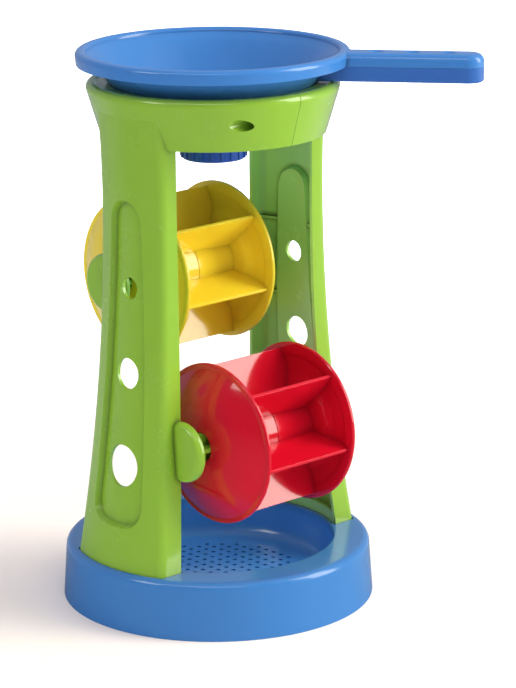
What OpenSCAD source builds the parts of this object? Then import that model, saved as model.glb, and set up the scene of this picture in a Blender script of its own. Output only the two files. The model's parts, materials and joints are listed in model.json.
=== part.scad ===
// Sand wheel toy: a funnel pan on a green stand drops sand on two paddle wheels over a sieve tray.
// The ground is z = 0, the wheels' axles run along x, and the left leg stands at -x.

/* [Base tray] */
// Diameter of the base at the ground
base_d = 210; // [206:1:222]
// How much narrower the skirt is at the deck, in diameter
base_taper = 4.4; // [0:0.2:5]
// Height of the deck above the ground
base_h = 38.5; // [37:0.5:44]
// Radius of the rounded outer edge of the deck
base_edge_r = 5; // [3:0.25:5]
// Wall thickness of the base tray
base_wall = 2.4; // [2:0.1:2.6]
// Width of the deck between the sand well and the tray's outside
deck_w = 24.5; // [24.3:0.1:28]
// How much narrower the well is at its floor, in diameter
well_taper = 5; // [2:0.5:8]
// Height of the well's floor above the ground
floor_h = 12; // [9:0.5:15]
// Radius of the fillet between the well's wall and floor
well_fillet_r = 9; // [6:0.5:11]
// Radius of the rounded edge of the well
well_edge_r = 1.5; // [1:0.1:2]
// Diameter of one sieve hole
sieve_hole_d = 3.2; // [2.4:0.1:4]
// Distance between neighbouring sieve holes
sieve_pitch = 7.4; // [7:0.1:10]
// Width of the plain floor around the sieve holes
sieve_margin = 19.8; // [18.8:0.2:36]
// Number of stiffening ribs under the deck
base_ribs = 8; // [4:2:12]

/* [Stand legs] */
// How much further in a leg's outer face lies at its waist than at the collar
waist_in = 2.3; // [1.5:0.1:3]
// Distance of a leg's outer face at the deck from the tray's outside
foot_inset = 5.6; // [4.8:0.1:9]
// Distance of the waist below the collar's lower edge
waist_drop = 37; // [27:1:47]
// Width of a leg at the top
leg_top_w = 61.2; // [58:0.2:64]
// Width of a leg at the deck
leg_foot_w = 84.8; // [80:0.2:87]
// Distance below the collar's lower edge to which a leg's sides are parallel
side_drop = 37; // [22:1:57]
// Distance of a leg's inner edges beyond the rims' inner sides
leg_room = 23.4; // [22.1:0.1:24.6]
// Distance from a leg's inner edges out to its outer face, at the waist
waist_depth = 17.9; // [17.2:0.1:18.7]
// Distance below the collar's lower edge from which the inner edges lean out
inner_drop = 77; // [62:1:92]
// The same depth of a leg at the deck
foot_x_depth = 26.4; // [25.7:0.1:28]
// Wall thickness of the legs and the collar
leg_wall = 2.4; // [2:0.1:2.8]
// Radius of a leg's upright outer corners
leg_corner_r = 6.5; // [4.5:0.25:8]
// How deep a foot stands in its socket
foot_depth = 12; // [9:0.5:13]
// Gap between a foot and its socket
foot_gap = 0.35; // [0.3:0.05:0.5]
// Height of the foot's inner wall above the deck
foot_wall_h = 7; // [4:0.5:12]

/* [Leg panel and holes] */
// Depth of the recessed panel in a leg's outer face
panel_depth = 4.2; // [3.6:0.1:5]
// Distance of the middle of the panel's round top end below the collar's lower edge
panel_drop = 49.5; // [41:0.5:55]
// Radius of the panel's round top end
panel_top_r = 14.2; // [12.5:0.1:15]
// Height of the middle of the panel's bottom corners above the deck
panel_rise = 41.5; // [38:0.5:47]
// Radius of the panel's bottom corners
panel_bottom_r = 14; // [12:0.5:16]
// Width of the panel at its bottom end
panel_bottom_w = 46.4; // [42:0.2:48]
// Slope of the panel's side walls away from square, in degrees
panel_draft = 24; // [5:1:28]
// Heights of the three holes in a panel above the deck
hole_rises = [66.5, 128.1, 184.8];
// Diameters of the three holes
hole_diameters = [27.8, 20.6, 14.4];
// Height of the stiffening ribs inside a leg
leg_rib_h = 3.2; // [2:0.1:4]
// Thickness of the stiffening ribs inside a leg
leg_rib_t = 1.6; // [1.2:0.1:2.2]
// Distance of those ribs above and below the upper axle
leg_rib_z = 26; // [23:0.5:30]

/* [Collar] */
// Height of the collar's lower edge above the upper wheel's rim
collar_rise = 45.5; // [40.5:0.1:47.5]
// Height of the collar
collar_h = 34.4; // [33:0.1:34.5]
// How far the legs stand out past the collar's lower edge
leg_step = 5.8; // [5.2:0.1:6.4]
// How much wider the collar is at its top, in diameter
collar_taper = 17.6; // [15:0.2:20]
// Radius of the collar's rounded top edge
collar_edge_r = 4.2; // [3.4:0.1:4.4]
// Gap between the two halves of the stand
seam_gap = 0.3; // [0.2:0.05:0.4]
// Distance of the two screws from the collar's outside
screw_in = 14; // [13.5:0.25:15.5]
// Height of the two screws above the collar's lower edge
screw_rise = 17.6; // [16:0.2:18]
// Diameter of the access hole over a screw
screw_access_d = 7.8; // [7.4:0.1:8]
// Diameter of a screw boss
screw_boss_d = 10.6; // [10.2:0.1:11]
// Depth of the screw head behind the middle plane
screw_seat_x = 12; // [10:0.5:15]
// How far the screw reaches into the right half
screw_reach = 12; // [9:0.5:14]
// Diameter of the screw's shank
screw_shank_d = 3.4; // [3:0.1:3.6]
// Diameter of the screw's head
screw_head_d = 6.6; // [6:0.1:7]
// Height of the screw's head
screw_head_h = 2.4; // [2:0.1:3]

/* [Ears and axle stubs] */
// Radius of the ears that carry the wheels
ear_r = 20; // [18.5:0.25:21]
// Thickness of an ear
ear_t = 5.7; // [5:0.1:7]
// Radius of an ear's rounded edge
ear_edge_r = 3.8; // [3:0.1:4.4]
// Diameter of the axle stubs
stub_d = 18.9; // [18:0.1:19]
// Radial running clearance of the wheels on their stubs
stub_clearance = 0.05; // [0.03:0.01:0.08]
// Thickness of the crossed ribs of a stub
stub_rib_t = 3; // [2.4:0.1:4]
// Length of the round journal at a stub's end
stub_journal = 9; // [7:0.5:11]

/* [Wheels] */
// Distance of the upper wheel's axle behind the middle
upper_y = 36.4; // [34:0.2:40]
// How far the two wheels overlap in height
wheel_overlap = 8.6; // [3:0.1:12]
// Turn of the upper wheel's paddles, in degrees
upper_turn = 44.8; // [0:0.2:60]
// Distance of the lower wheel's axle in front of the middle
lower_y = 39.7; // [38:0.2:41]
// Height of the lower wheel's rim above the deck
deck_gap = 27.2; // [22:0.1:30]
// Turn of the lower wheel's paddles, in degrees
lower_turn = 49; // [0:0.2:60]
// Radius of the wheels
wheel_r = 53.6; // [51:0.2:55]
// Distance of the paddles' outer edges from the wheel's outside
paddle_in = 3.4; // [3.2:0.1:6]
// Thickness of a paddle
paddle_t = 2; // [1.6:0.1:2.4]
// Number of paddles on a wheel
paddle_count = 6; // [4:1:8]
// Distance between the inner sides of the two rims
rim_gap = 72.8; // [71:0.2:74]
// Thickness of each half of a rim
rim_t = 1.3; // [1.2:0.1:1.5]
// Width of the flat ring of a rim
rim_w = 3.4; // [3:0.1:3.6]
// How far the plate's bowl is sunk behind the rim's inner side
plate_dish = 1.4; // [1:0.1:1.6]
// How far the plate stands out toward the hub, past the rim's inner side
plate_rise = 3.1; // [2:0.1:3.5]
// Wall thickness of the wheel mouldings
wheel_wall = 1.9; // [1.6:0.1:2]
// How far a domed cap stands out beyond the rim
dome_rise = 11; // [9:0.2:12]
// Radius of the hub at the seam
hub_r = 20; // [19:0.1:21]
// Radius of the hub where it meets the end plates
hub_end_r = 18.4; // [18.1:0.1:19]
// Length of the spigot that joins the hub halves
spigot_l = 9; // [6:0.5:12]
// Width of the groove around the hub at its seam
seam_groove = 0.7; // [0.4:0.1:1]
// Gap between the mouldings of a wheel
moulding_gap = 0.1; // [0.1:0.05:0.15]
// Length of the bearing sleeve in a cap
sleeve_l = 13.5; // [12:0.25:14.5]

/* [Funnel pan] */
// Height of the pan's rim above the collar's top
pan_rise = 19.8; // [19.6:0.1:22]
// Height of the rim's outer skirt
pan_skirt = 9; // [7:0.25:9.5]
// How much the skirt draws in toward its lower edge, in radius
pan_skirt_in = 0.6; // [0.2:0.1:1.5]
// Radius of the rounded rim
pan_rim_r = 3.4; // [2.6:0.1:3.6]
// Wall thickness of the pan
pan_wall = 2.2; // [1.8:0.1:2.4]
// Width of the rim's top
pan_rim_w = 7.5; // [6.5:0.1:8.5]
// Distance from the bowl out to the pan's outside, at the skirt's lower edge
pan_neck_w = 12.1; // [11:0.1:13]
// Distance from the collar's outside in to the bowl, at the collar's top
bowl_in = 13.7; // [13:0.1:14.5]
// How much the bowl widens from there to the skirt's lower edge, in radius
bowl_flare = 8.3; // [7.6:0.1:9.6]
// Distance of the bowl's lower corner below the collar's top
bowl_sink = 21.4; // [20:0.2:23]
// Drop of the funnel floor from the bowl's corner to the spout
funnel_drop = 9; // [6:0.5:12]
// Gap between the bowl and its seat in the collar
seat_gap = 0.3; // [0.25:0.05:0.45]
// Length of the conical seat
seat_h = 7; // [5:0.5:8]
// Outer diameter of the spout
spout_d = 37.8; // [36:0.2:39]
// Distance of the spout's lower face below the bowl's lower corner
spout_drop = 28.4; // [26:0.2:30]
// Number of sand ports in the spout
port_count = 3; // [2:1:3]
// Width of one sand port, in degrees
port_angle = 50; // [40:1:52]

/* [Pan handle] */
// Direction of the handle, in degrees from +x
handle_angle = -51; // [-90:1:90]
// Length of the handle beyond the pan's rim
handle_l = 86.8; // [76:0.1:100]
// Width of the handle
handle_w = 22; // [19:0.5:25]
// How far the handle's top lies below the rim
handle_drop = 0.5; // [0.4:0.1:1]
// Height of the lower handle shell
handle_low_h = 9.9; // [9:0.1:10.1]
// Radius of the handle's rounded top edges
handle_edge_r = 5; // [3:0.1:5.5]
// Radius of the rounded edges of the lower handle shell
handle_low_edge_r = 1.6; // [1:0.1:3]
// Diameter of the round thumb hollows
hollow_d = 10; // [8:0.5:12]
// Depth of a thumb hollow
hollow_depth = 1.7; // [1.2:0.1:1.9]
// Distance between thumb hollows
hollow_pitch = 23.2; // [21:0.2:24]

/* [Flow dial] */
// Wall thickness of the dial without its grip ridges
dial_wall = 2.34; // [2.2:0.02:3]
// Height of the dial
dial_h = 16.5; // [14:0.25:17.5]
// Thickness of the dial's floor
dial_floor = 2.4; // [2:0.1:3]
// Number of grip ridges
dial_ridges = 20; // [12:1:24]
// Height of a grip ridge
dial_ridge_h = 0.8; // [0.5:0.1:1]
// Width of a grip ridge
dial_ridge_w = 1.7; // [1.2:0.1:2.2]
// Radial running clearance of the dial on the spout
dial_clearance = 0.06; // [0.04:0.01:0.08]

/* [Hidden] */
$fn = 96;
// Cuts run this far past the faces they open
over = 1;
// Grid steps that round a profile's corner
arc_steps = 6;

// Heights above the ground, each from what lies below it
lower_h = base_h + deck_gap + wheel_r;
upper_h = lower_h + 2 * wheel_r - wheel_overlap;
collar_bottom_h = upper_h + wheel_r + collar_rise;
collar_top_h = collar_bottom_h + collar_h;
screw_h = collar_bottom_h + screw_rise;
leg_waist_h = collar_bottom_h - waist_drop;
leg_side_h = collar_bottom_h - side_drop;
leg_inner_h = collar_bottom_h - inner_drop;
panel_top_h = collar_bottom_h - panel_drop;
panel_bottom_h = base_h + panel_rise;
pan_top_h = collar_top_h + pan_rise;
bowl_floor_h = collar_top_h - bowl_sink;
spout_h = bowl_floor_h - spout_drop;

// Radii from the upright middle line: the feet follow the tray, the legs clear the wheels, and the collar
// and the pan follow the legs
base_r = base_d / 2;
base_top_r = base_r - base_taper / 2;
leg_foot_r = base_top_r - foot_inset;
leg_foot_inner_x = leg_foot_r - foot_x_depth;
leg_inner_x = rim_gap / 2 + leg_room;
leg_waist_r = leg_inner_x + waist_depth;
leg_collar_r = leg_waist_r + waist_in;
collar_low_r = leg_collar_r - leg_step;
collar_r = collar_low_r + collar_taper / 2;
screw_y = collar_r - screw_in;
bowl_r = collar_r - bowl_in;
pan_r = bowl_r + bowl_flare + pan_neck_w;
handle_reach = pan_r + handle_l;

// Shared shapes
function arc(c, r, a0, a1, n = arc_steps) =
    [for (i = [0 : n]) c + r * [cos(a0 + (a1 - a0) * i / n), sin(a0 + (a1 - a0) * i / n)]];

// A length that is a above height z0 and swells to b at the deck
function flare(z, z0, a, b) =
    z >= z0 ? a : (z <= base_h ? b : a + (b - a) * pow((z0 - z) / (z0 - base_h), 2));
function leg_r(z) = z <= leg_waist_h ? flare(z, leg_waist_h, leg_waist_r, leg_foot_r)
    : leg_waist_r + (leg_collar_r - leg_waist_r) * pow((z - leg_waist_h) / (crease_h - leg_waist_h), 2);
function leg_half(z) = flare(z, leg_side_h, leg_top_w / 2, leg_foot_w / 2);
function leg_x(z) = flare(z, leg_inner_h, leg_inner_x, leg_foot_inner_x);

// Base tray
well_r = base_top_r - deck_w;
well_low_r = well_r - well_taper / 2;
sieve_field_r = well_low_r - sieve_margin;
foot_in_r = sqrt(pow(leg_foot_inner_x, 2) + pow(leg_foot_w / 2, 2)) - leg_wall / 2;
socket_floor_h = base_h - foot_depth - foot_gap;
base_rib_t = base_wall * 0.75;
base_rib_r = well_low_r + base_wall / 2;
base_rib_h = socket_floor_h - floor_h;
hook_w = foot_depth;
hook_t = leg_wall * 0.8;
hook_barb = leg_wall * 0.6;
hook_tip = hook_barb * 1.7;
hook_drop = base_wall + 2 * foot_gap + hook_tip;
hook_turn = 13;

module base_shell() {
    out_z = base_h - base_edge_r;
    in_edge = base_edge_r - base_wall;
    fillet_c = [well_low_r - well_fillet_r, floor_h + well_fillet_r];
    rotate_extrude() polygon(concat(
        [[base_r, 0]],
        arc([base_top_r - base_edge_r, out_z], base_edge_r, 0, 90),
        arc([well_r + well_edge_r, base_h - well_edge_r], well_edge_r, 90, 180, 3),
        arc(fillet_c, well_fillet_r, 0, -90),
        [[0, floor_h], [0, floor_h - base_wall]],
        arc(fillet_c, well_fillet_r + base_wall, -90, 0),
        [[well_r + base_wall, base_h - base_wall]],
        arc([base_top_r - base_edge_r, out_z], in_edge, 90, 0, 4),
        [[base_r - base_wall, 0]]));
}

// The plan of a foot, grown by g all round
module foot_plan(g) {
    intersection() {
        difference() {
            circle(r = leg_foot_r + g);
            circle(r = foot_in_r - g);
        }
        translate([0, -leg_foot_w / 2 - g])
            square([leg_foot_r + base_wall, leg_foot_w + 2 * g]);
    }
}

module hook_places() {
    for (s = [-1, 1]) rotate(s * hook_turn) translate([foot_in_r + leg_wall - hook_t, 0]) children();
}

module base_tray() {
    color("royalblue") difference() {
        union() {
            base_shell();
            for (m = [0, 1]) mirror([m, 0, 0])
                translate([0, 0, socket_floor_h - base_wall])
                    linear_extrude(foot_depth + base_wall) foot_plan(base_wall * 0.8);
            for (i = [0 : base_ribs - 1]) rotate(90 + (i - (base_ribs - 1) / 2) * 180 / base_ribs)
                for (m = [0, 1]) mirror([m, 0, 0])
                    translate([base_rib_r, -base_rib_t / 2, floor_h])
                        cube([base_top_r - base_wall / 2 - base_rib_r, base_rib_t, base_rib_h]);
        }
        for (m = [0, 1]) mirror([m, 0, 0]) {
            translate([0, 0, socket_floor_h])
                linear_extrude(foot_depth + over) foot_plan(foot_gap);
            hook_places() translate([-hook_barb - foot_gap, -hook_w / 2 - foot_gap, floor_h])
                cube([hook_t + hook_barb + 2 * foot_gap, hook_w + 2 * foot_gap, foot_low_h - floor_h]);
        }
        sieve_holes();
    }
}

module sieve_holes() {
    n = floor(sieve_field_r / sieve_pitch);
    translate([0, 0, floor_h - base_wall - over]) linear_extrude(base_wall + 2 * over)
        for (i = [-n : n], j = [-n : n])
            if (norm([i, j]) * sieve_pitch <= sieve_field_r)
                translate([i, j] * sieve_pitch) circle(d = sieve_hole_d, $fn = 24);
}

// Stand: the right half is drawn, and the left half is its mirror image
collar_edge_h = collar_top_h - collar_edge_r;
collar_slope = (collar_r - collar_low_r) / (collar_edge_h - collar_bottom_h);
crease_h = collar_bottom_h + (leg_collar_r - collar_low_r) / collar_slope;
leg_top_h = crease_h + leg_wall / 6 / collar_slope;
foot_low_h = base_h - foot_depth;
bowl_slope = bowl_flare / (pan_top_h - pan_skirt - collar_top_h);
bowl_slant = atan(bowl_slope);
function bowl_out_r(z) = bowl_r + (z - collar_top_h) * bowl_slope;
seat_step = seat_gap / cos(bowl_slant);
seat_top_h = collar_top_h - leg_wall * 0.6;
seat_low_h = seat_top_h - seat_h;
deck_drop = leg_wall * 1.35;
panel_wall = leg_wall;
panel_low_h = panel_bottom_h - 2 * panel_bottom_r;
leg_levels = 14;

// One level of the leg: a channel with its open side toward the middle plane
function leg_corner(R, W, c) = [sqrt(pow(R - c, 2) - pow(W - c, 2)), W - c];
function leg_side(R, W, X, p, c) = let (a = atan2(p[1], p[0]))
    concat([[X, p[1] + c]], arc(p, c, 90, a, 5), arc([0, 0], R, a, -a, 10),
        [for (q = arc(p, c, a, 90, 5)) [q[0], -q[1]]], [[X, -p[1] - c]]);
function leg_ring(z) = let (R = leg_r(z), W = leg_half(z), X = leg_x(z),
    p = leg_corner(R, W, leg_corner_r), out = leg_side(R, W, X, p, leg_corner_r),
    inn = leg_side(R - leg_wall, W, X, p, leg_corner_r - leg_wall), n = len(inn) - 1)
    concat(out, [for (i = [0 : n]) inn[n - i]]);

module leg_shell() {
    heights = concat([foot_low_h], [for (i = [0 : leg_levels])
        base_h + (leg_top_h - base_h) * pow(i / leg_levels, 1.25)]);
    rings = [for (z = heights) [for (p = leg_ring(z)) [p[0], p[1], z]]];
    m = len(rings[0]);
    k = len(rings);
    pts = [for (r = rings, p = r) p];
    sides = [for (i = [0 : k - 2], j = [0 : m - 1]) let (a = i * m + j, b = i * m + (j + 1) % m)
        each [[a, b, b + m], [a, b + m, a + m]]];
    half = m / 2 - 1;
    caps = [for (j = [0 : half - 1]) let (b = m - 1 - j, t = (k - 1) * m)
        each [[j, b, b - 1], [j, b - 1, j + 1], [t + j, t + b - 1, t + b], [t + j, t + j + 1, t + b - 1]]];
    polyhedron(pts, concat(sides, caps));
}

// The panel's outline, grown by g, with its long sides in short steps
function steps(p, q, n) = [for (i = [1 : n - 1]) p + (q - p) * i / n];
function panel_outline(g) = let (bottom_x = panel_bottom_w / 2 - panel_bottom_r,
    rise = panel_top_h - panel_bottom_h,
    tilt = atan(bottom_x / rise) + asin((panel_bottom_r - panel_top_r) / norm([bottom_x, rise])),
    top = arc([0, panel_top_h], panel_top_r + g, tilt, 180 - tilt, 16),
    left = arc([-bottom_x, panel_bottom_h], panel_bottom_r + g, 180 - tilt, 270, 8),
    right = arc([bottom_x, panel_bottom_h], panel_bottom_r + g, -90, tilt, 8))
    concat(top, steps(top[16], left[0], leg_levels), left, right, steps(right[8], top[0], leg_levels));

// The panel's outline as a plug with drafted sides, from depth d0 to depth d1 behind the leg's face
module panel_plug(g, d0, d1) {
    draft = tan(panel_draft);
    rings = [for (d = [d0, d1]) [for (p = panel_outline(g - draft * d))
        [sqrt(pow(leg_r(p[1]), 2) - pow(p[0], 2)) - d, p[0], p[1]]]];
    m = len(rings[0]);
    crown = 8;
    caps = [for (a = [crown : crown + (m - 3) / 2])
        let (b = a + 1, c = (2 * crown - b + m) % m, d = (2 * crown - a + m) % m)
        each concat([[a, c, b], [m + a, m + b, m + c]], a == d ? [] : [[a, d, c], [m + a, m + c, m + d]])];
    polyhedron(concat(rings[0], rings[1]), concat(caps,
        [for (i = [0 : m - 1]) let (j = (i + 1) % m) each [[i, j, m + i], [j, m + j, m + i]]]));
}

// Turns a plan drawn in y and z into a prism along x
module along_x(x0, x1) {
    translate([x0, 0, 0]) rotate([90, 0, 90]) linear_extrude(x1 - x0) children();
}

// A layer that follows the leg's face, from depth d0 to depth d1 behind it
module leg_layer(d0, d1, z0, z1) {
    n = 12;
    levels = [for (i = [0 : n]) z0 + (z1 - z0) * i / n];
    layer_angle = 2 * asin(leg_foot_w / 2 / leg_waist_r);
    rotate(-layer_angle / 2) rotate_extrude(angle = layer_angle) polygon(concat(
        [for (z = levels) [leg_r(z) - d0, z]],
        [for (i = [0 : n]) [leg_r(levels[n - i]) - d1, levels[n - i]]]));
}

module collar_half() {
    edge_c = [collar_r - collar_edge_r, collar_edge_h];
    lip_a = 138;
    seat_top = [bowl_out_r(seat_top_h) + seat_step, seat_top_h];
    seat_low = [bowl_out_r(seat_low_h) + seat_step, seat_low_h];
    down = [0, -deck_drop];
    lip_in = edge_c + collar_edge_r * [cos(lip_a), sin(lip_a)] + down;
    rotate(-90) rotate_extrude(angle = 180) polygon(concat(
        [[collar_low_r, collar_bottom_h]],
        arc(edge_c, collar_edge_r, -atan(collar_slope), lip_a, 9),
        [seat_top, seat_low, seat_low + down, seat_top + down, lip_in],
        [[collar_r - collar_edge_r, collar_edge_h - deck_drop / 2]],
        [[collar_low_r - leg_wall, collar_bottom_h]]));
}

module ear(y, h) {
    edge_c = [ear_r - ear_edge_r, ear_t - ear_edge_r];
    tip_x = dome_x - sleeve_l - rim_t;
    root_x = leg_x(h);
    neck_x = tip_x + stub_journal;
    translate([root_x, y, h]) rotate([0, 90, 0]) rotate_extrude()
        polygon(concat([[0, 0], [ear_r, 0]], arc(edge_c, ear_edge_r, 0, 90), [[0, ear_t]]));
    translate([tip_x, y, h]) rotate([0, 90, 0]) cylinder(d = stub_d, h = stub_journal);
    intersection() {
        translate([tip_x, y, h]) rotate([0, 90, 0]) cylinder(d = stub_d, h = root_x - tip_x + leg_wall / 2);
        union() for (a = [0, 90]) translate([neck_x - leg_wall, y, h]) rotate([a, 0, 0])
            translate([0, -stub_d / 2, -stub_rib_t / 2])
                cube([root_x - neck_x + 2 * leg_wall, stub_d, stub_rib_t]);
    }
}

module leg_inside(g) {
    half = leg_top_w / 2 - leg_wall / 2;
    for (z = [upper_h - leg_rib_z, upper_h + leg_rib_z]) translate([0, 0, z - leg_rib_t / 2])
        intersection() {
            rotate(-45) rotate_extrude(angle = 90)
                translate([leg_r(z) - leg_wall - leg_rib_h, 0]) square([leg_rib_h + g, leg_rib_t]);
            translate([0, -half, -over]) cube([leg_foot_r, 2 * half, leg_rib_t + 2 * over]);
        }
}

module foot_inner_wall() {
    wall_top = base_h + foot_wall_h;
    translate([0, 0, foot_low_h]) linear_extrude(wall_top - foot_low_h) intersection() {
        difference() {
            circle(r = foot_in_r + leg_wall);
            circle(r = foot_in_r);
        }
        translate([0, leg_wall / 2 - leg_foot_w / 2]) square([leg_foot_r, leg_foot_w - leg_wall]);
    }
}

// Snap hooks that reach through the socket's floor and catch under it
module foot_hooks() {
    hook_places() translate([0, -hook_w / 2, foot_low_h - hook_drop]) {
        cube([hook_t, hook_w, foot_depth + hook_drop]);
        rotate([-90, 0, 0]) linear_extrude(hook_w)
            polygon([[0, 0], [hook_t, 0], [hook_t + hook_barb, -hook_tip], [0, -hook_tip]]);
    }
}

module stand_half() {
    difference() {
        union() {
            leg_shell();
            collar_half();
            intersection() {
                leg_layer(leg_wall / 2, panel_depth + panel_wall, panel_low_h, leg_top_h);
                panel_plug(panel_wall * 0.65, -leg_wall, panel_depth + 2 * panel_wall);
            }
            leg_inside(leg_wall / 2);
            foot_inner_wall();
            foot_hooks();
            ear(upper_y, upper_h);
            ear(-lower_y, lower_h);
        }
        intersection() {
            leg_layer(-2 * leg_wall, panel_depth, panel_low_h, leg_top_h);
            panel_plug(0, -3 * leg_wall, panel_depth + panel_wall);
        }
        for (i = [0 : len(hole_rises) - 1])
            along_x(leg_inner_x, leg_foot_r + leg_wall)
                translate([0, base_h + hole_rises[i]]) circle(d = hole_diameters[i]);
        translate([-collar_r, -collar_r - over, 0])
            cube([collar_r + seam_gap / 2, 2 * collar_r + 2 * over, collar_top_h + over]);
    }
}

screw_clear = (screw_access_d - screw_head_d) / 4;
boss_web_t = leg_wall * 0.75;

module screw_rod(y, x0, x1, d) {
    translate([x0, y, screw_h]) rotate([0, 90, 0]) cylinder(d = d, h = x1 - x0, $fn = 48);
}

// Screw bosses with webs to the collar's wall, both ending inside that wall
module bosses(x1) {
    in_wall = leg_wall / 3;
    intersection() {
        union() for (s = [-1, 1]) {
            screw_rod(s * screw_y, seam_gap / 2, x1, screw_boss_d);
            translate([seam_gap / 2, s > 0 ? screw_y : -collar_r, screw_h - boss_web_t / 2])
                cube([x1 - seam_gap / 2, collar_r - screw_y, boss_web_t]);
        }
        rotate_extrude() polygon([[bowl_r - leg_wall, collar_bottom_h], [collar_low_r - in_wall, collar_bottom_h],
            [collar_r - in_wall, collar_edge_h], [bowl_r - leg_wall, collar_edge_h]]);
    }
}

module right_stand_half() {
    color("yellowgreen") difference() {
        union() {
            stand_half();
            bosses(screw_reach + leg_wall);
        }
        for (s = [-1, 1])
            screw_rod(s * screw_y, -over, screw_reach + screw_clear, screw_shank_d + screw_clear);
    }
}

module left_stand_half() {
    color("yellowgreen") mirror([1, 0, 0]) difference() {
        union() {
            stand_half();
            bosses(collar_r);
        }
        for (s = [-1, 1]) {
            screw_rod(s * screw_y, -over, screw_seat_x + over, screw_shank_d + 2 * screw_clear);
            screw_rod(s * screw_y, screw_seat_x, collar_r, screw_access_d);
        }
    }
}

module collar_screws() {
    tip = screw_shank_d / 2;
    slot_t = screw_head_h * 0.35;
    seat = screw_seat_x + screw_clear / 2;
    color("silver") for (s = [-1, 1]) difference() {
        union() {
            mirror([1, 0, 0]) screw_rod(s * screw_y, seat, seat + screw_head_h, screw_head_d);
            screw_rod(s * screw_y, -seat - leg_wall / 2, screw_reach - tip, screw_shank_d);
            translate([screw_reach - tip, s * screw_y, screw_h]) rotate([0, 90, 0])
                cylinder(d1 = screw_shank_d, d2 = tip, h = tip, $fn = 48);
        }
        for (a = [0, 90]) translate([-seat - screw_head_h - over, s * screw_y, screw_h]) rotate([a, 0, 0])
            translate([0, -screw_head_d / 4, -slot_t / 2])
                cube([over + screw_head_h / 2, screw_head_d / 2, slot_t]);
    }
}

// Wheels: each is drawn on its own axis, which is then laid along x
paddle_r = wheel_r - paddle_in;
rim_x = rim_gap / 2;
joint_x = rim_x + rim_t;
cap_x = joint_x + moulding_gap;
cap_rim_x = cap_x + rim_t;
dome_x = cap_rim_x + dome_rise;
bowl_x = rim_x + plate_dish;
hub_x = rim_x - plate_rise;
bore_r = stub_d / 2 + stub_clearance;
seam_x = 1;
hub_wall = wheel_wall * 1.2;
sleeve_r = bore_r + wheel_wall * 1.3;
rim_in_r = wheel_r - rim_w;
bowl_r1 = rim_in_r - rim_w;
bowl_r2 = bowl_r1 - rim_w;
bowl_r3 = (bowl_r2 + hub_r) / 2 + rim_w;
bowl_r4 = bowl_r3 - 1.3 * rim_w;
hub_hole_r = hub_end_r - hub_wall;
groove = seam_groove / 2;

module on_axle(y, h, turn) {
    translate([0, y, h]) rotate([0, 90, 0]) rotate(-90 - turn) children();
}

// The side of an end plate that faces the paddles, from the hub out to the rim
function plate_face(g) = [[hub_end_r, hub_x - g], [bowl_r4 - rim_w, hub_x + plate_rise / 2 - g],
    [bowl_r4, bowl_x - plate_dish - g], [bowl_r3, bowl_x - g], [bowl_r2, bowl_x - g],
    [bowl_r1, rim_x + plate_dish / 8 - g]];

function plate_profile() = concat(plate_face(0), [[rim_in_r, rim_x], [wheel_r - rim_t / 2, rim_x],
    [wheel_r, rim_x + rim_t / 2], [wheel_r, joint_x], [bowl_r1, joint_x],
    [bowl_r2, bowl_x + wheel_wall], [bowl_r3 - wheel_wall / 4, bowl_x + wheel_wall],
    [bowl_r4 - wheel_wall / 2, bowl_x - plate_dish + wheel_wall],
    [bowl_r4 - rim_w - wheel_wall / 4, hub_x + plate_rise / 2 + wheel_wall],
    [hub_hole_r, hub_x + wheel_wall]]);

module drum() {
    spigot_r = hub_r - hub_wall - moulding_gap;
    bore = hub_r - 2 * hub_wall;
    rotate_extrude() polygon(concat(
        [[hub_r - groove, seam_x], [hub_r, seam_x + groove]], plate_profile(),
        [[hub_hole_r, hub_x], [bore, seam_x + hub_wall], [bore, seam_x - spigot_l],
        [spigot_r - hub_wall / 4, seam_x - spigot_l], [spigot_r, seam_x - spigot_l + hub_wall / 4], [spigot_r, seam_x]]));
    g = 2 * moulding_gap;
    intersection() {
        rotate_extrude() polygon(concat(
            [[hub_r + g, g - seam_x]], [for (p = plate_face(g)) [p[0] + (p[0] < hub_r ? g : 0), -p[1]]],
            [[rim_in_r, g - rim_x], [paddle_r, g - rim_x], [paddle_r, rim_x + rim_t / 2], [bowl_r1, rim_x + rim_t / 2]],
            [[bowl_r2, bowl_x + wheel_wall / 2], [bowl_r3, bowl_x + wheel_wall / 2]],
            [[bowl_r4, bowl_x - plate_dish + wheel_wall / 2], [bowl_r4 - rim_w, hub_x + plate_rise / 2 + wheel_wall / 2]],
            [[hub_end_r - hub_wall / 2, hub_x + wheel_wall / 2],
            [hub_r - hub_wall / 2, seam_x + groove], [hub_r + g, seam_x + groove]]));
        union() for (i = [0 : paddle_count - 1]) rotate(i * 360 / paddle_count)
            translate([0, -paddle_t / 2, -rim_x]) cube([paddle_r + over, paddle_t, 2 * rim_x + plate_dish + over]);
    }
}

module end_plate() {
    sleeve_in = hub_r - hub_wall;
    seam = moulding_gap * 2 - seam_x;
    mirror([0, 0, 1]) rotate_extrude() polygon(concat(
        [[hub_r - groove, seam], [hub_r, seam + groove]], plate_profile(),
        [[hub_hole_r, hub_x], [sleeve_in, hub_x - spigot_l], [sleeve_in, seam]]));
}

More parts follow.
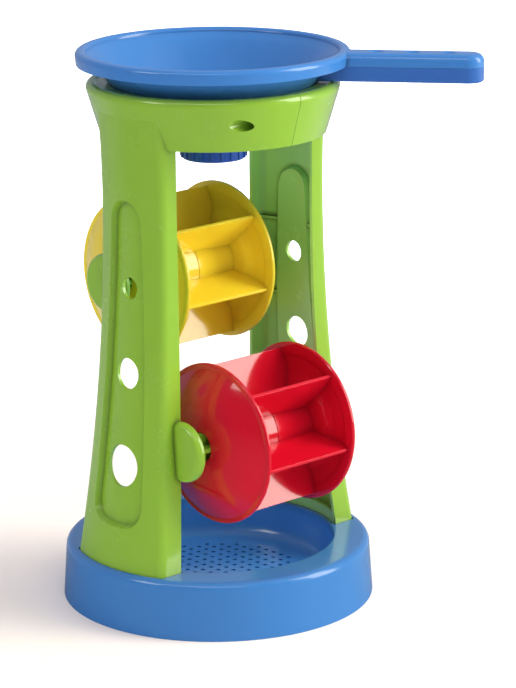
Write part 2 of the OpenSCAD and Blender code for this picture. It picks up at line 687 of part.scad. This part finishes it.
module cap() {
    span = rim_in_r - sleeve_r;
    dome_r = (pow(span, 2) + pow(dome_rise, 2)) / 2 / dome_rise;
    dome_c = [sleeve_r, dome_x - dome_r];
    edge_a = acos(span / dome_r);
    in_r = dome_r - wheel_wall;
    in_a = asin((cap_x + wheel_wall / 2 - dome_c[1]) / in_r);
    low_x = dome_x - sleeve_l;
    web_l = sleeve_l - 2.5 * wheel_wall;
    rotate_extrude() polygon(concat(
        [[wheel_r, cap_x]], arc([wheel_r - rim_t * 0.8, cap_rim_x - rim_t * 0.8], rim_t * 0.8, 0, 90, 4),
        arc(dome_c, dome_r, edge_a, 90, 12),
        arc([bore_r + wheel_wall / 2, dome_x - wheel_wall / 2], wheel_wall / 2, 90, 180, 3),
        [[bore_r, low_x], [sleeve_r, low_x]],
        arc(dome_c, in_r, 90, in_a, 10),
        [[dome_c[0] + in_r * cos(in_a), cap_x]]));
    for (a = [0 : 60 : 359]) rotate(a) translate([sleeve_r - wheel_wall / 2, -wheel_wall / 2, low_x + wheel_wall])
        cube([hub_hole_r - moulding_gap - sleeve_r + wheel_wall / 2, wheel_wall, web_l]);
}

module upper_wheel_drum() { color("gold") on_axle(upper_y, upper_h, upper_turn) drum(); }
module upper_wheel_end_plate() { color("gold") on_axle(upper_y, upper_h, upper_turn) end_plate(); }
module upper_wheel_right_cap() { color("gold") on_axle(upper_y, upper_h, upper_turn) cap(); }
module upper_wheel_left_cap() {
    color("gold") on_axle(upper_y, upper_h, upper_turn) mirror([0, 0, 1]) cap();
}
module lower_wheel_drum() { color("crimson") on_axle(-lower_y, lower_h, lower_turn) drum(); }
module lower_wheel_end_plate() { color("crimson") on_axle(-lower_y, lower_h, lower_turn) end_plate(); }
module lower_wheel_right_cap() { color("crimson") on_axle(-lower_y, lower_h, lower_turn) cap(); }
module lower_wheel_left_cap() {
    color("crimson") on_axle(-lower_y, lower_h, lower_turn) mirror([0, 0, 1]) cap();
}

// Funnel pan
rim_c = [pan_r - pan_rim_r, pan_top_h - pan_rim_r];
skirt_low_h = pan_top_h - pan_skirt;
neck_h = skirt_low_h + pan_wall / 4;
bowl_wall = pan_wall / cos(bowl_slant);
spout_r = spout_d / 2;
dial_r = spout_r + dial_clearance + dial_wall;
spout_in_r = spout_r - pan_wall;
funnel_low_h = bowl_floor_h - funnel_drop;
handle_low = skirt_low_h - handle_low_h;
handle_top_h = pan_top_h - handle_drop;
handle_end_x = handle_reach - handle_w / 2;
in_rim_r = pan_r - pan_rim_w;
port_in_r = spout_in_r / 3;
port_out_r = spout_in_r - pan_wall / 2;
groove_h = pan_wall / 2;
dial_low_h = spout_h - dial_floor - seat_gap;
groove_z = dial_low_h + dial_h - 2 * groove_h;

// A ring of sand ports, as a plan
module ports() {
    for (i = [0 : port_count - 1]) rotate(i * 360 / port_count) difference() {
        intersection() {
            circle(r = port_out_r);
            polygon([[0, 0], 2 * port_out_r * [cos(port_angle / 2), -sin(port_angle / 2)],
                2 * port_out_r * [cos(port_angle / 2), sin(port_angle / 2)]]);
        }
        circle(r = port_in_r);
    }
}

module pan_bowl() {
    skirt_in = pan_r - pan_skirt_in - pan_wall;
    rotate_extrude() polygon(concat(
        [[pan_r - pan_skirt_in, skirt_low_h]],
        arc(rim_c, pan_rim_r, 0, 90),
        arc([in_rim_r + pan_rim_r * 0.8, rim_c[1] + pan_rim_r * 0.2], pan_rim_r * 0.8, 90, 180, 5),
        [[bowl_out_r(neck_h) - bowl_wall, neck_h],
        [bowl_out_r(bowl_floor_h) - bowl_wall, bowl_floor_h + pan_wall]],
        [[spout_in_r, funnel_low_h + pan_wall], [spout_in_r, spout_h + pan_wall], [0, spout_h + pan_wall]],
        [[0, spout_h], [spout_r, spout_h]],
        [[spout_r, groove_z - groove_h], [spout_r - groove_h * 0.7, groove_z - groove_h / 2],
        [spout_r - groove_h * 0.7, groove_z + groove_h / 2], [spout_r, groove_z + groove_h]],
        [[spout_r, funnel_low_h - pan_wall / 2], [spout_r + pan_wall, funnel_low_h]],
        [[bowl_out_r(bowl_floor_h) - pan_wall / 2, bowl_floor_h - pan_wall / 3],
        [bowl_out_r(bowl_floor_h + pan_wall / 2), bowl_floor_h + pan_wall / 2]],
        [[bowl_out_r(neck_h), neck_h], [in_rim_r + pan_wall * 1.2, skirt_low_h + pan_skirt * 0.6],
        [skirt_in, skirt_low_h + pan_skirt * 0.7], [skirt_in, skirt_low_h]]));
}

// The handle's plan from x0 to its round end, drawn in by g
module handle_plan(g, x0) {
    side = handle_w / 2 - g;
    translate([x0, -side]) square([handle_end_x - x0, 2 * side]);
    translate([handle_end_x, 0]) circle(r = side);
}

// The handle's outline from height h0 to h1, with rounded edges of radius e at h1
module handle_block(h0, h1, e) {
    side = handle_w / 2;
    s = sign(h1 - h0);
    n = 5;
    edge = [for (q = arc([side - e, -e], e, 90, 0, n)) [q[0], h1 + s * q[1]]];
    mirrored = [for (i = [0 : n]) [-edge[n - i][0], edge[n - i][1]]];
    translate([handle_end_x, 0, 0]) rotate(-90) rotate_extrude(angle = 180)
        polygon(concat([[0, h0], [0, h1]], edge, [[side, h0]]));
    translate([bowl_r, 0, 0]) rotate([90, 0, 90]) linear_extrude(handle_end_x - bowl_r)
        polygon(concat([[-side, h0]], mirrored, edge, [[side, h0]]));
}

// Everything inside the bowl's outer face, grown by g
module bowl_inside(g) {
    low_h = bowl_floor_h - funnel_drop;
    neck_r = in_rim_r + bowl_wall + g;
    rotate_extrude() polygon([[0, low_h], [bowl_out_r(low_h) + g, low_h],
        [bowl_out_r(neck_h) + g, neck_h], [neck_r, rim_c[1]],
        [neck_r, pan_top_h + over], [0, pan_top_h + over]]);
}

module funnel_pan() {
    hollow_c = handle_reach - hollow_pitch;
    hollow_r = (pow(hollow_d / 2, 2) + pow(hollow_depth, 2)) / 2 / hollow_depth;
    color("dodgerblue") difference() {
        union() {
            pan_bowl();
            rotate(handle_angle) difference() {
                handle_block(skirt_low_h, handle_top_h, handle_edge_r);
                bowl_inside(-pan_wall / 2);
            }
        }
        rotate(handle_angle) {
            difference() {
                translate([0, 0, skirt_low_h - over])
                    linear_extrude(pan_skirt - handle_drop - 1.5 * pan_wall + over)
                        handle_plan(pan_wall * 1.3, bowl_r);
                bowl_inside(pan_wall / 2);
                rotate_extrude() translate([pan_r - pan_skirt_in - pan_wall - seat_gap, 0])
                    square([pan_wall + pan_skirt_in + 2 * seat_gap, pan_top_h]);
            }
            for (i = [0 : 2]) translate([hollow_c - i * hollow_pitch, 0, handle_top_h - hollow_depth + hollow_r])
                rotate([90, 0, 0]) sphere(r = hollow_r);
        }
        translate([0, 0, spout_h - over]) linear_extrude(pan_wall + 2 * over) ports();
    }
}

module handle_under_shell() {
    color("dodgerblue") rotate(handle_angle) difference() {
        handle_block(skirt_low_h - moulding_gap, handle_low, handle_low_edge_r);
        translate([0, 0, handle_low + pan_wall]) linear_extrude(pan_skirt + handle_low_h)
            handle_plan(pan_wall, 0);
        bowl_inside(seat_gap);
    }
}

module flow_dial() {
    bore = spout_r + dial_clearance;
    bead = groove_h * 0.5;
    top_h = dial_low_h + dial_h;
    foot_r = dial_r - pan_wall / 2;
    color("mediumblue") difference() {
        union() {
            rotate_extrude() polygon([[0, dial_low_h], [foot_r, dial_low_h],
                [dial_r, dial_low_h + pan_wall / 2], [dial_r, top_h],
                [bore, top_h], [bore, groove_z + groove_h / 2], [bore - bead, groove_z + groove_h / 4],
                [bore - bead, groove_z - groove_h / 4], [bore, groove_z - groove_h / 2],
                [bore, dial_low_h + dial_floor], [0, dial_low_h + dial_floor]]);
            for (i = [0 : dial_ridges - 1]) rotate((i + 0.5) * 360 / dial_ridges)
                translate([dial_r - dial_ridge_h, -dial_ridge_w / 2, dial_low_h + pan_wall / 2])
                    cube([2 * dial_ridge_h, dial_ridge_w, dial_h - pan_wall]);
        }
        translate([0, 0, dial_low_h - over]) linear_extrude(dial_floor + 2 * over) ports();
    }
}

base_tray();
left_stand_half();
right_stand_half();
collar_screws();
upper_wheel_drum();
upper_wheel_end_plate();
upper_wheel_left_cap();
upper_wheel_right_cap();
lower_wheel_drum();
lower_wheel_end_plate();
lower_wheel_left_cap();
lower_wheel_right_cap();
funnel_pan();
handle_under_shell();
flow_dial();
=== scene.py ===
"""Looks of the sand wheel toy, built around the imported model."""
import json
import math

import bmesh
import bpy
from mathutils import Matrix, Vector


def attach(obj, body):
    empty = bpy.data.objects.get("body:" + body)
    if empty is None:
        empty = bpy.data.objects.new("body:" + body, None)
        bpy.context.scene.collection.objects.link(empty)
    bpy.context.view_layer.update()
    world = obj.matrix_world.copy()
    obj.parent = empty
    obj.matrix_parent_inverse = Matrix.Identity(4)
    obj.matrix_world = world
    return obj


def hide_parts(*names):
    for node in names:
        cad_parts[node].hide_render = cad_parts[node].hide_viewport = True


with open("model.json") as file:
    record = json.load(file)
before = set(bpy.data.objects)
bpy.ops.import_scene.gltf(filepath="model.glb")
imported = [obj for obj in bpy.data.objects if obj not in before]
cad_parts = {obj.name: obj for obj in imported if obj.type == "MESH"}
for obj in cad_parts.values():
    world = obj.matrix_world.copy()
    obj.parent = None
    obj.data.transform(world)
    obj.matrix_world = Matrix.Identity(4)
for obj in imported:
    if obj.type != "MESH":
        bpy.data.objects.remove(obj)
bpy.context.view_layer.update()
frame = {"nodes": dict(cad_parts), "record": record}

MM = 0.001
BLACK = (0.0, 0.0, 0.0)
WHITE = (1.0, 1.0, 1.0)
UP = (0.0, 0.0, 1.0)

# Sockets of the colour mix node, whose names repeat
MIX_FACTOR, MIX_A, MIX_B, MIX_RESULT = 0, 6, 7, 2


# Shader maths
class Value:
    """A shader socket that takes part in Python expressions."""

    def __init__(self, tree, socket):
        self.tree = tree
        self.socket = socket

    def _math(self, operation, a, b):
        return self.tree.node("ShaderNodeMath", {"operation": operation}, {0: a, 1: b})

    def __add__(self, other):
        return self._math("ADD", self, other)

    def __sub__(self, other):
        return self._math("SUBTRACT", self, other)

    def __rsub__(self, other):
        return self._math("SUBTRACT", other, self)

    def __mul__(self, other):
        return self._math("MULTIPLY", self, other)


class Tree:
    """The node tree of a material or the world."""

    def __init__(self, owner):
        owner.use_nodes = True
        self.nodes = owner.node_tree.nodes
        self.links = owner.node_tree.links
        self.nodes.clear()

    def node(self, kind, settings=None, inputs=None, output=0):
        """Adds a node, sets its properties and inputs, and gives back one of its outputs."""
        made = self.nodes.new(kind)
        for name, value in (settings or {}).items():
            setattr(made, name, value)
        for key, value in (inputs or {}).items():
            if isinstance(value, Value):
                self.links.new(value.socket, made.inputs[key])
            else:
                made.inputs[key].default_value = value
        return Value(self, made.outputs[output]) if made.outputs else None


def rgba(colour):
    return (*colour, 1.0)


def mix_colour(tree, factor, a, b):
    """Colour a where factor is 0 and b where it is 1."""
    return tree.node("ShaderNodeMix", {"data_type": "RGBA"},
                     {MIX_FACTOR: factor, MIX_A: a, MIX_B: b}, MIX_RESULT)


def object_place(tree):
    return tree.node("ShaderNodeTexCoord", output="Object")


def noise(tree, place, scale, detail=3.0, roughness=0.5):
    return tree.node("ShaderNodeTexNoise", {}, {
        "Vector": place, "Scale": scale, "Detail": detail, "Roughness": roughness})


def ranged(tree, value, low, high, to_low, to_high):
    """Maps low to high onto to_low to to_high, and keeps to that range."""
    return tree.node("ShaderNodeMapRange", {"clamp": True}, {
        "Value": value, "From Min": low, "From Max": high, "To Min": to_low, "To Max": to_high})


def length_of(tree, vector):
    return tree.node("ShaderNodeVectorMath", {"operation": "LENGTH"}, {0: vector}, "Value")


def dot_product(tree, a, b):
    return tree.node("ShaderNodeVectorMath", {"operation": "DOT_PRODUCT"}, {0: a, 1: b}, "Value")


def flat_place(tree):
    """The place on the object without its height."""
    return tree.node("ShaderNodeVectorMath", {"operation": "MULTIPLY"}, {0: object_place(tree), 1: (1, 1, 0)})


# Materials
# Radii on either side of the well's edge, between which the light painted into the well sets in
WELL_OUTSIDE = 79 * MM
WELL_INSIDE = 77.5 * MM
# The product of place and normal, in m, at which a face counts as one that looks inwards
INWARD = -0.02


def in_well(tree):
    """1 within the tray's sand well, where the base's colour is brightened as painted light, and 0 outside
    it.
    """
    return ranged(tree, length_of(tree, flat_place(tree)), WELL_OUTSIDE, WELL_INSIDE, 0.0, 1.0)


def facing_in(tree):
    """1 on faces that look towards the object's upright middle line, where the stand's colour is brightened
    as painted light, and 0 on the others.
    """
    normal = tree.node("ShaderNodeTexCoord", output="Normal")
    return ranged(tree, dot_product(tree, flat_place(tree), normal), 0.0, INWARD, 0.0, 1.0)


# Scale and detail of each unevenness of the plastic: cloud of colour, handled gloss, ripple and fine skin
CLOUD_NOISE = {"scale": 14.0}
HANDLED_NOISE = {"scale": 38.0, "detail": 4.0, "roughness": 0.62}
RIPPLE_NOISE = {"scale": 55.0, "detail": 1.0}
SKIN_NOISE = {"scale": 900.0, "detail": 2.0}
STEEL_NOISE = {"scale": 1400.0, "detail": 2.0}
# Where the cloud's noise starts and ends to show, and its largest share of the colour
CLOUD_RANGE = (0.42, 0.7)
CLOUD_SHARE = 0.5
# Where the handled noise is glossiest and dullest
HANDLED_RANGE = (0.3, 0.75)
# Height of the fine skin against the ripple
SKIN_SHARE = 0.05
BUMP_STRENGTH = 0.1
BUMP_HEIGHT = 0.1 * MM
# Lowest and highest roughness as shares of the mean one, and the coat's share
GLOSSIEST = 0.85
DULLEST = 1.25
COAT_GLOSS = 0.4
PLASTIC_IOR = 1.49
SCATTER_DEPTH = 4 * MM
SCATTER_COLOUR = (1.0, 0.6, 0.4)
# Reach of the shade painted into creases, and the openness at which it is full and gone
CREASE_SHADE_REACH = 4 * MM
CREASE_SHADE_FULL = 0.45
CREASE_SHADE_GONE = 0.97
# Colour of the steel, the range of its noise and the roughness that this stands for
STEEL_COLOUR = (0.56, 0.57, 0.58)
STEEL_RANGE = (0.3, 0.7)
STEEL_ROUGHNESS = (0.26, 0.42)


def moulded_plastic(name, colour, deep, gloss, coat, glow, edge=0.5, painted_light=None, crease=0.7):
    """Injection-moulded plastic: a faint cloudiness of colour, fine skin texture, rounded edges and painted
    shade in creases.

    colour is the body colour and deep its darker cloud, gloss the mean roughness, coat the weight of the
    clear skin, glow the share of light that scatters within the plastic, and edge the radius of small edges
    in mm.
    A mask and a brighter colour, when given as one pair, paint light on the faces in the mask, and crease is
    the share of the colour that stays in a crease, where shade is painted by darkening towards black."""
    material = bpy.data.materials.new(name)
    tree = Tree(material)
    place = object_place(tree)
    cloud = noise(tree, place, **CLOUD_NOISE)
    skin = noise(tree, place, **SKIN_NOISE)
    ripple = noise(tree, place, **RIPPLE_NOISE)
    handled = noise(tree, place, **HANDLED_NOISE)
    tint = mix_colour(tree, ranged(tree, cloud, *CLOUD_RANGE, 0.0, CLOUD_SHARE), rgba(colour), rgba(deep))
    # Painted light: the faces in the mask get a brighter colour.
    if painted_light:
        mask, painted_light_colour = painted_light
        tint = mix_colour(tree, mask(tree), tint, rgba(painted_light_colour))
    # Painted shade: the colour darkens towards black in creases, where the local occlusion is low.
    open_air = tree.node("ShaderNodeAmbientOcclusion", {"samples": 8, "only_local": True},
                         {"Distance": CREASE_SHADE_REACH}, "AO")
    colour_kept_by_painted_shade = ranged(tree, open_air, CREASE_SHADE_FULL, CREASE_SHADE_GONE, crease, 1.0)
    tint = mix_colour(tree, colour_kept_by_painted_shade, rgba(BLACK), tint)
    rough = ranged(tree, handled, *HANDLED_RANGE, gloss * GLOSSIEST, gloss * DULLEST)
    rounded = tree.node("ShaderNodeBevel", {"samples": 4}, {"Radius": edge * MM})
    bump = tree.node("ShaderNodeBump", {}, {
        "Strength": BUMP_STRENGTH, "Distance": BUMP_HEIGHT, "Height": skin * SKIN_SHARE + ripple,
        "Normal": rounded})
    shader = tree.node("ShaderNodeBsdfPrincipled", {}, {
        "Base Color": tint, "Roughness": rough, "Normal": bump, "IOR": PLASTIC_IOR, "Coat Weight": coat,
        "Coat Roughness": gloss * COAT_GLOSS, "Subsurface Weight": glow, "Subsurface Scale": SCATTER_DEPTH,
        "Subsurface Radius": SCATTER_COLOUR})
    tree.node("ShaderNodeOutputMaterial", {}, {"Surface": shader})
    return material


def plated_steel(name):
    """Zinc-plated screw steel with a fine grain in its gloss."""
    material = bpy.data.materials.new(name)
    tree = Tree(material)
    grain = noise(tree, object_place(tree), **STEEL_NOISE)
    shader = tree.node("ShaderNodeBsdfPrincipled", {}, {
        "Base Color": rgba(STEEL_COLOUR), "Metallic": 1.0,
        "Roughness": ranged(tree, grain, *STEEL_RANGE, *STEEL_ROUGHNESS)})
    tree.node("ShaderNodeOutputMaterial", {}, {"Surface": shader})
    return material


FINISHES = {
    # The well's floor and wall get a brighter blue: painted light where the well is in shade.
    "base_blue": moulded_plastic(
        "base_plastic", (0.045, 0.19, 0.455), (0.038, 0.17, 0.415),
        gloss=0.20, coat=0.25, glow=0.05, painted_light=(in_well, (0.075, 0.32, 0.82))),
    # Faces that look inwards get a much brighter green: painted light on the shaded sides of the legs.
    "stand_green": moulded_plastic(
        "stand_plastic", (0.258, 0.468, 0.033), (0.238, 0.438, 0.028),
        gloss=0.24, coat=0.5, glow=0.06, painted_light=(facing_in, (0.42, 0.82, 0.20)), crease=0.4),
    "screw_steel": plated_steel("screw_steel"),
    "wheel_yellow": moulded_plastic(
        "yellow_plastic", (0.92, 0.675, 0.033), (0.88, 0.635, 0.027),
        gloss=0.12, coat=0.5, glow=0.3, edge=0.7, crease=0.92),
    "wheel_red": moulded_plastic(
        "red_plastic", (0.63, 0.005, 0.02), (0.56, 0.004, 0.017),
        gloss=0.12, coat=0.5, glow=0.15, edge=0.7, crease=0.8),
    "pan_blue": moulded_plastic(
        "pan_plastic", (0.050, 0.205, 0.51), (0.042, 0.185, 0.47),
        gloss=0.20, coat=0.22, glow=0.05, crease=0.4),
    # A darker copy of the pan's blue for the handle's lower shell: painted shade.
    "under_shell": moulded_plastic(
        "under_shell_painted_shade_plastic", (0.036, 0.135, 0.42), (0.031, 0.12, 0.38),
        gloss=0.20, coat=0.22, glow=0.05),
    "dial_blue": moulded_plastic(
        "dial_plastic", (0.02, 0.09, 0.42), (0.015, 0.08, 0.38),
        gloss=0.24, coat=0.1, glow=0.04),
}

# Pieces
BODIES = frame["record"]["behaviour"]["bodies"]
BODY_OF = {node: body for body, members in BODIES.items() for node in members}
SLOT_OF = {part["node"]: part["material_slot"] for part in frame["record"]["subparts"]}
# Pieces whose finish isn't the one that goes by their slot's name: the handle's lower shell gets a darker
# copy of the pan's blue, which is painted shade
FINISH_OF = {"handle_under_shell": "under_shell"}


def finish_piece(piece, node):
    """Gives a piece the finish of the CAD node that it stands for, and lets it ride with that node's body."""
    piece.data.materials.clear()
    piece.data.materials.append(FINISHES[FINISH_OF.get(node, SLOT_OF[node])])
    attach(piece, BODY_OF[node])
    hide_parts(node)
    return piece


# Height and radius of the collar's cone at its lower and upper edge, in mm
COLLAR_CONE = ((317.0, 74.2), (346.03, 82.83))
# How far a corner of the cone's faces may lie past these heights and off this radius, in mm
CONE_HEIGHT_SLACK = 0.1
CONE_RADIUS_SLACK = 0.06
# Least angle at which the cone's edge is drawn sharp, and the least one of all other edges, in degrees
CONE_SHARP_ANGLE = 4
SHARP_ANGLE = 24
# Points closer than this are welded, and faces thinner than this are dropped
WELD = 0.004 * MM
SLIVER = 0.03 * MM


def on_collar(face):
    """Whether a face lies on the collar's outer cone."""
    (z0, r0), (z1, r1) = COLLAR_CONE
    for vertex in face.verts:
        x, y, z = vertex.co / MM
        if not z0 - CONE_HEIGHT_SLACK < z < z1 + CONE_HEIGHT_SLACK:
            return False
        if abs(math.hypot(x, y) - r0 - (z - z0) * (r1 - r0) / (z1 - z0)) > CONE_RADIUS_SLACK:
            return False
    return True


def cone_edges(made):
    """The numbers of the edges that bound the collar's cone at a visible angle."""
    cone = {face.index for face in made.faces if on_collar(face)}
    edges = set()
    for edge in made.edges:
        sides = [face.index in cone for face in edge.link_faces]
        if any(sides) and not all(sides) and edge.calc_face_angle(0.0) > math.radians(CONE_SHARP_ANGLE):
            edges.add(edge.index)
    return edges


def smooth_copy(node):
    """The CAD node's shape as one welded mesh, with its shallow edges shaded smooth."""
    mesh = frame["nodes"][node].data.copy()
    mesh.name = node + "_skin"
    made = bmesh.new()
    made.from_mesh(mesh)
    bmesh.ops.remove_doubles(made, verts=made.verts, dist=WELD)
    bmesh.ops.dissolve_degenerate(made, edges=made.edges, dist=SLIVER)
    creases = cone_edges(made) if node.endswith("stand_half") else set()
    made.to_mesh(mesh)
    made.free()
    piece = bpy.data.objects.new(node + "_skin", mesh)
    bpy.context.scene.collection.objects.link(piece)
    for layer in [a.name for a in mesh.attributes if a.name in ("custom_normal", "sharp_face")]:
        mesh.attributes.remove(mesh.attributes[layer])
    mesh.shade_smooth()
    mesh.set_sharp_from_angle(angle=math.radians(SHARP_ANGLE))
    for crease in creases:
        mesh.edges[crease].use_edge_sharp = True
    modifier = piece.modifiers.new("even_normals", "WEIGHTED_NORMAL")
    modifier.keep_sharp = True
    bpy.context.view_layer.update()
    evened = bpy.data.meshes.new_from_object(piece.evaluated_get(bpy.context.evaluated_depsgraph_get()))
    piece.modifiers.clear()
    piece.data = evened
    return finish_piece(piece, node)


for node in sorted(frame["nodes"]):
    smooth_copy(node)


# Stage, light and camera
# The way that the room's bright wall lies from the object
BRIGHT_SIDE = (0.66, 0.71, 0.25)
# The room's light on surfaces at the height of the horizon, and how much it grows to the zenith
ROOM_LIGHT = 0.47
ROOM_ABOVE = 0.30
ROOM_TINT = (0.94, 0.98, 1.18)
LAMP_TINT = (1.0, 0.97, 0.88)
# Brightness of the room in reflections, and where along BRIGHT_SIDE it changes
DARK_SIDE = 0.05
BRIGHT_WALL = 0.36
WALL_STARTS = -0.35
WALL_FULL = 0.55
# Paper as light meets it, near and far, and as the camera sees it
FLOOR_PAPER = (1.15, 1.15, 1.15)
PAPER_FAR = (0.9, 0.9, 0.9)
FLOOR_SEEN = (0.99, 0.89, 0.79)
FLOOR_FAR = (1.8, 1.8, 1.8)
# Distances in m between which the near paper turns into the far one
NEAR_PAPER = 0.35
FAR_PAPER = 1.0
# Where along BRIGHT_SIDE, in m, the paper's brightness in reflections changes, and the two levels
SHEEN_RANGE = (-0.15, 0.35)
SHEEN_LEVELS = (0.1, 0.45)
# Half the side of the paper, in m
FLOOR_HALF = 8.0


def make_world():
    """Plain white for the camera, a soft light for surfaces that grows with height, and for reflections a
    white room behind the object that darkens towards the camera's side, as a studio does."""
    world = bpy.data.worlds.new("studio")
    bpy.context.scene.world = world
    tree = Tree(world)
    camera = tree.node("ShaderNodeLightPath", output="Is Camera Ray")
    glossy = tree.node("ShaderNodeLightPath", output="Is Glossy Ray")
    direction = tree.node("ShaderNodeTexCoord", output="Generated")
    facing = dot_product(tree, direction, BRIGHT_SIDE)
    room = ranged(tree, facing, WALL_STARTS, WALL_FULL, DARK_SIDE, BRIGHT_WALL)
    even = dot_product(tree, direction, UP) * ROOM_ABOVE + ROOM_LIGHT
    strength = even + glossy * (room - even)
    soft = tree.node("ShaderNodeBackground", {}, {"Color": rgba(ROOM_TINT), "Strength": strength})
    seen = tree.node("ShaderNodeBackground", {}, {"Color": rgba(WHITE), "Strength": 1.0})
    both = tree.node("ShaderNodeMixShader", {}, {0: camera, 1: soft, 2: seen})
    tree.node("ShaderNodeOutputWorld", {}, {"Surface": both})


def make_floor():
    """White paper under the object: what the camera sees of it is lifted to white outside the shadow, and
    reflections show it dimmed on the camera's side."""
    mesh = bpy.data.meshes.new("floor")
    made = bmesh.new()
    bmesh.ops.create_grid(made, x_segments=1, y_segments=1, size=FLOOR_HALF)
    made.to_mesh(mesh)
    made.free()
    floor = bpy.data.objects.new("floor", mesh)
    bpy.context.scene.collection.objects.link(floor)
    material = bpy.data.materials.new("floor_paper")
    tree = Tree(material)
    camera = tree.node("ShaderNodeLightPath", output="Is Camera Ray")
    glossy = tree.node("ShaderNodeLightPath", output="Is Glossy Ray")
    place = object_place(tree)
    sheen = ranged(tree, dot_product(tree, place, BRIGHT_SIDE), *SHEEN_RANGE, *SHEEN_LEVELS)
    far = ranged(tree, length_of(tree, place), NEAR_PAPER, FAR_PAPER, 0.0, 1.0)
    paper = mix_colour(tree, far, rgba(FLOOR_PAPER), rgba(PAPER_FAR))
    dimmed = mix_colour(tree, sheen * glossy + (1.0 - glossy), rgba(BLACK), paper)
    white = mix_colour(tree, far, rgba(FLOOR_SEEN), rgba(FLOOR_FAR))
    diffuse = tree.node("ShaderNodeBsdfDiffuse", {}, {"Color": mix_colour(tree, camera, dimmed, white)})
    tree.node("ShaderNodeOutputMaterial", {}, {"Surface": diffuse})
    mesh.materials.append(material)


def direction_of(azimuth, elevation):
    """The way from the object to a place seen at these angles, in degrees, as a unit vector."""
    a = math.radians(azimuth)
    e = math.radians(elevation)
    return Vector((math.sin(a) * math.cos(e), -math.cos(a) * math.cos(e), math.sin(e)))


def softbox(name, height, azimuth, elevation, distance, size, power, mirrored=True, lighting=True):
    """A rectangular lamp that faces the object's middle line at the given height in m, seen from there at
    azimuth and elevation in degrees. Glossy skins show it unless mirrored is False, and it only shows in
    them where lighting is False."""
    lamp = bpy.data.lights.new(name, "AREA")
    lamp.shape = "RECTANGLE"
    lamp.size, lamp.size_y = size
    lamp.energy = power
    lamp.color = LAMP_TINT
    towards = direction_of(azimuth, elevation)
    made = bpy.data.objects.new(name, lamp)
    made.rotation_euler = towards.to_track_quat("Z", "Y").to_euler()
    made.location = Vector((0, 0, height)) + towards * distance
    made.visible_glossy = mirrored
    made.visible_diffuse = lighting
    bpy.context.scene.collection.objects.link(made)


# The photograph's camera, solved from the round edges of the tray, collar, wheels and pan
CAMERA_PLACE = Vector((-1253.5, -1395.1, 687.6)) * MM
CAMERA_AZIMUTH = -42.8
CAMERA_ELEVATION = 15.39
CAMERA_ROLL = -0.41
# Focal length and width of the photograph in its pixels, and width of the sensor in mm
FOCAL_LENGTH = 2913.0
PHOTO_WIDTH = 516.0
SENSOR_WIDTH = 36.0


def make_camera():
    """The camera of the photograph."""
    azimuth = math.radians(CAMERA_AZIMUTH)
    roll = math.radians(CAMERA_ROLL)
    back = direction_of(CAMERA_AZIMUTH, CAMERA_ELEVATION)
    right = Vector((math.cos(azimuth), math.sin(azimuth), 0))
    up = back.cross(right)
    right_rolled = right * math.cos(roll) + up * math.sin(roll)
    up_rolled = up * math.cos(roll) - right * math.sin(roll)
    data = bpy.data.cameras.new("camera")
    data.sensor_fit = "HORIZONTAL"
    data.sensor_width = SENSOR_WIDTH
    data.lens = FOCAL_LENGTH / PHOTO_WIDTH * SENSOR_WIDTH
    camera = bpy.data.objects.new("camera", data)
    turn = Matrix((right_rolled, up_rolled, back)).transposed().to_4x4()
    camera.matrix_world = Matrix.Translation(CAMERA_PLACE) @ turn
    bpy.context.scene.collection.objects.link(camera)
    bpy.context.scene.camera = camera


bpy.context.scene.view_settings.view_transform = "Standard"
make_world()
make_floor()
softbox("key", height=0.15, azimuth=42, elevation=22, distance=4.0, size=(1.8, 3.4), power=128.0)
softbox("strip", height=0.2, azimuth=-55, elevation=54, distance=3.4, size=(3.0, 0.35), power=20.0)
softbox("top", height=0.2, azimuth=42, elevation=55, distance=4.0, size=(2.0, 2.0), power=62.0,
        mirrored=False)
softbox("crest", height=0.35, azimuth=-103, elevation=34, distance=3.4, size=(1.1, 1.1), power=20.0,
        lighting=False)
make_camera()
